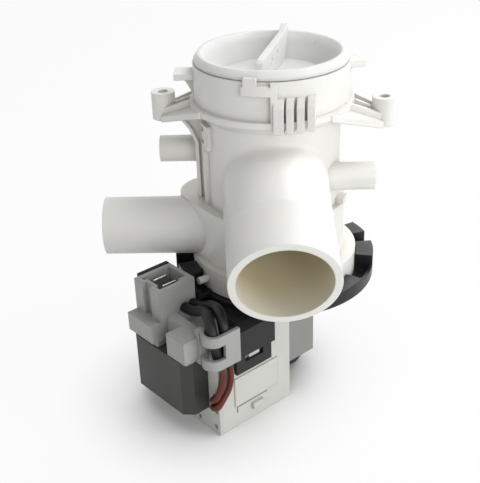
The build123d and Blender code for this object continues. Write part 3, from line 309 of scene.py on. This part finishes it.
def core_steel():
    """Stamped sheets: faint lines across Z, dark at the yoke and bare at the poles; the yoke's
    dark tone is partly painted shade.
    """
    finish = Finish(
        "steel_laminations",
        (0.045, 0.045, 0.0435),
        0.45,
        Metallic=0.2,
        Specular_IOR_Level=0.35,
    )
    finish.soft_edges(0.3 * MM)
    # Painted shade in part: the yoke keeps the dark base colour, partly a darker finish and
    # partly shade on its side turned from the light, while the poles turn lighter
    along = finish.distance_along(MOTOR_START, MOTOR_AXIS)
    finish.tint(finish.remap(along, POLES_FADE, POLES_FROM, 0.0, 1.0), (0.27, 0.27, 0.26))
    sheets = finish.bands("Z", pi / WAVE_RATE / SHEET, distortion=0.4)
    finish.tint(finish.remap(sheets, 0.0, 0.35, 0.06, 0.0), (0.05, 0.05, 0.048))
    streaks = finish.noise(90, detail=3, stretch=(1, 1, 0.2))
    finish.tint(finish.remap(streaks, 0.5, 0.8, 0.0, 0.12), (0.14, 0.138, 0.13))
    finish.rough(streaks, 0.38, 0.55)
    finish.bump(sheets, 0.005 * MM)
    return finish.material


def plain_metal(name, color, roughness):
    finish = Finish(name, color, roughness, Metallic=1.0)
    finish.soft_edges(0.15 * MM)
    smear = finish.noise(220, detail=3)
    worn = [channel * 0.75 for channel in color]
    finish.tint(finish.remap(smear, 0.4, 0.75, 0.0, 0.5), worn)
    finish.rough(smear, roughness - 0.08, roughness + 0.12)
    finish.bump(smear, 0.01 * MM)
    return finish.material


def coil_copper():
    """Enamelled wire, wound turn beside turn."""
    finish = Finish("enamelled_wire", (0.55, 0.22, 0.08), 0.3, Metallic=0.8)
    turns = finish.bands("X", 500)
    finish.tint(finish.remap(turns, 0.0, 0.4, 0.5, 0.0), (0.2, 0.06, 0.02))
    finish.bump(turns, 0.06 * MM)
    return finish.material


def rubber(name, color, roughness):
    """Rubber or soft insulation, with a dull gloss and a lighter bloom."""
    finish = Finish(name, color, roughness, Specular_IOR_Level=0.3)
    finish.soft_edges(0.2 * MM)
    bloom = [channel * 1.5 for channel in color]
    finish.tint(finish.remap(finish.noise(120, detail=3), 0.4, 0.7, 0.0, 0.4), bloom)
    finish.rough(finish.noise(200, detail=3), roughness - 0.06, roughness + 0.1)
    finish.bump(finish.noise(1200, detail=2), 0.01 * MM)
    return finish.material


milky = cap_plastic()
FINISHES = {
    "housing_plastic": housing_plastic(),
    "cap_plastic": milky,
    "filter_plastic": milky,
    "head_plastic": head_plastic(),
    "seal_rubber": rubber("black_rubber", (0.018, 0.018, 0.018), 0.55),
    "bearing_carbon": plain_metal("ground_carbon", (0.08, 0.08, 0.08), 0.5),
    "shaft_steel": plain_metal("ground_steel", (0.55, 0.55, 0.54), 0.3),
    "rotor_ferrite": plain_metal("moulded_ferrite", (0.09, 0.09, 0.09), 0.6),
    "core_steel": core_steel(),
    "coil_copper": coil_copper(),
    "coil_housing_plastic": coil_housing_plastic(),
    "contact_brass": plain_metal("plain_brass", (0.65, 0.48, 0.2), 0.35),
    "connector_plastic": connector_plastic(),
    "contact_metal": plain_metal("tinned_blades", (0.72, 0.71, 0.67), 0.3),
    "lead_insulation": rubber("brown_insulation", (0.105, 0.020, 0.010), 0.32),
    "sleeve_rubber": rubber("black_sleeve", (0.008, 0.008, 0.009), 0.36),
}
for entry in frame["record"]["subparts"]:
    mesh = nodes[entry["node"]].data
    mesh.materials.clear()
    mesh.materials.append(FINISHES[entry["material_slot"]])


# Camera: the photograph's own viewpoint, its angles in radians
CAMERA_PLACE = Vector((44.4741, -337.5760, 114.6158)) * MM
CAMERA_DIP, CAMERA_TURN, CAMERA_ROLL = 0.486734, 0.173655, -0.0354267
FOCAL_PIXELS, IMAGE_WIDTH, SENSOR = 900.26, 480, 36.0
CLIP_NEAR, CLIP_FAR = 0.01, 20


def link_object(name, data):
    """Put new object data in the scene as an object of its own."""
    thing = bpy.data.objects.new(name, data)
    bpy.context.scene.collection.objects.link(thing)
    return thing


def add_camera():
    level = Vector((cos(CAMERA_TURN), sin(CAMERA_TURN), 0))
    aside = Vector((sin(CAMERA_TURN), -cos(CAMERA_TURN), 0))
    back = aside * cos(CAMERA_DIP) + Vector((0, 0, sin(CAMERA_DIP)))
    upright = back.cross(level)
    right = level * cos(CAMERA_ROLL) + upright * sin(CAMERA_ROLL)
    up = upright * cos(CAMERA_ROLL) - level * sin(CAMERA_ROLL)
    data = bpy.data.cameras.new("photo_camera")
    data.sensor_fit = "HORIZONTAL"
    data.sensor_width = SENSOR
    data.lens = FOCAL_PIXELS / IMAGE_WIDTH * SENSOR
    data.clip_start = CLIP_NEAR
    data.clip_end = CLIP_FAR
    camera = link_object("photo_camera", data)
    axes = Matrix((right, up, back)).transposed().to_4x4()
    camera.matrix_world = Matrix.Translation(CAMERA_PLACE) @ axes
    bpy.context.scene.camera = camera


# Floor and backdrop: white where they are seen, and plain where they light the pump
FLOOR_SIZE = 6.0
FLOOR_GLOW = 0.9
FLOOR_SHADE = 42 * MM
FLOOR_COLOR, FLOOR_PATCHES = (0.82, 0.82, 0.82), (0.80, 0.80, 0.80)
WORLD_LIGHT = 0.42
WHITE = (1, 1, 1, 1)


def seen_share(tree):
    """One for the rays that show the studio: straight on, in a gloss or through a clear piece."""
    path = tree.nodes.new("ShaderNodeLightPath")
    share = path.outputs["Is Camera Ray"]
    for ray in ("Is Glossy Ray", "Is Transmission Ray"):
        larger = tree.nodes.new("ShaderNodeMath")
        larger.operation = "MAXIMUM"
        tree.links.new(share, larger.inputs[0])
        tree.links.new(path.outputs[ray], larger.inputs[1])
        share = larger.outputs["Value"]
    return share


def mix_shaders(tree, share, first, second, output):
    """Blend two shaders into a tree's output, by a share."""
    mix = tree.nodes.new("ShaderNodeMixShader")
    tree.links.new(share, mix.inputs["Fac"])
    tree.links.new(first, mix.inputs[1])
    tree.links.new(second, mix.inputs[2])
    tree.links.new(mix.outputs["Shader"], tree.nodes[output].inputs["Surface"])


def floor_finish():
    """Pale floor that glows white where it is open and keeps the pump's shadow near it."""
    finish = Finish("pale_floor", FLOOR_COLOR, 0.85)
    finish.tint(finish.remap(finish.noise(3, detail=2), 0.4, 0.6, 0.0, 0.3), FLOOR_PATCHES)
    glow = finish.add("ShaderNodeEmission")
    glow.inputs["Color"].default_value = WHITE
    open_sky = finish.add("ShaderNodeAmbientOcclusion", samples=12)
    open_sky.inputs["Distance"].default_value = FLOOR_SHADE
    open_share = finish.remap(open_sky.outputs["AO"], 0.45, 0.98, 0.0, FLOOR_GLOW)
    share = finish.multiply(seen_share(finish.tree), open_share)
    plain = finish.shader.outputs["BSDF"]
    mix_shaders(finish.tree, share, plain, glow.outputs["Emission"], "Material Output")
    return finish.material


def add_floor():
    floor_height = min(corner[2] for corner in cad_box)
    shape = bmesh.new()
    bmesh.ops.create_grid(shape, x_segments=1, y_segments=1, size=FLOOR_SIZE / 2)
    bmesh.ops.translate(shape, vec=(0, 0, floor_height), verts=shape.verts)
    mesh = bpy.data.meshes.new("floor")
    shape.to_mesh(mesh)
    shape.free()
    mesh.materials.append(floor_finish())
    link_object("floor", mesh)


def add_world():
    world = bpy.data.worlds.new("studio")
    bpy.context.scene.world = world
    world.use_nodes = True
    tree = world.node_tree
    light = tree.nodes["Background"]
    light.inputs["Color"].default_value = WHITE
    light.inputs["Strength"].default_value = WORLD_LIGHT
    backdrop = tree.nodes.new("ShaderNodeBackground")
    backdrop.inputs["Color"].default_value = WHITE
    backdrop.inputs["Strength"].default_value = 1.0
    lit, seen = light.outputs["Background"], backdrop.outputs["Background"]
    mix_shaders(tree, seen_share(tree), lit, seen, "World Output")


# Lamps: name, place, side of the square and power in watts
LAMPS = (
    ("key_lamp", (0.45, 0.05, 0.80), 0.5, 4.6),
    ("fill_lamp", (-0.55, -0.75, 0.30), 0.7, 0.2),
    ("front_lamp", (0.48, -0.78, 0.25), 0.4, 2.2),
    ("back_lamp", (0.25, 0.75, 0.55), 0.6, 2.4),
    ("side_lamp", (0.85, -0.25, 0.02), 0.5, 2.8),
)
LAMP_TARGET = Vector((0, 0, -50)) * MM


def add_lamps():
    for name, place, size, power in LAMPS:
        data = bpy.data.lights.new(name, "AREA")
        data.size = size
        data.energy = power
        lamp = link_object(name, data)
        lamp.location = place
        away = Vector(place) - LAMP_TARGET
        lamp.rotation_euler = away.to_track_quat("Z", "Y").to_euler()


add_camera()
add_floor()
add_world()
add_lamps()

bpy.context.scene.view_settings.view_transform = "Standard"
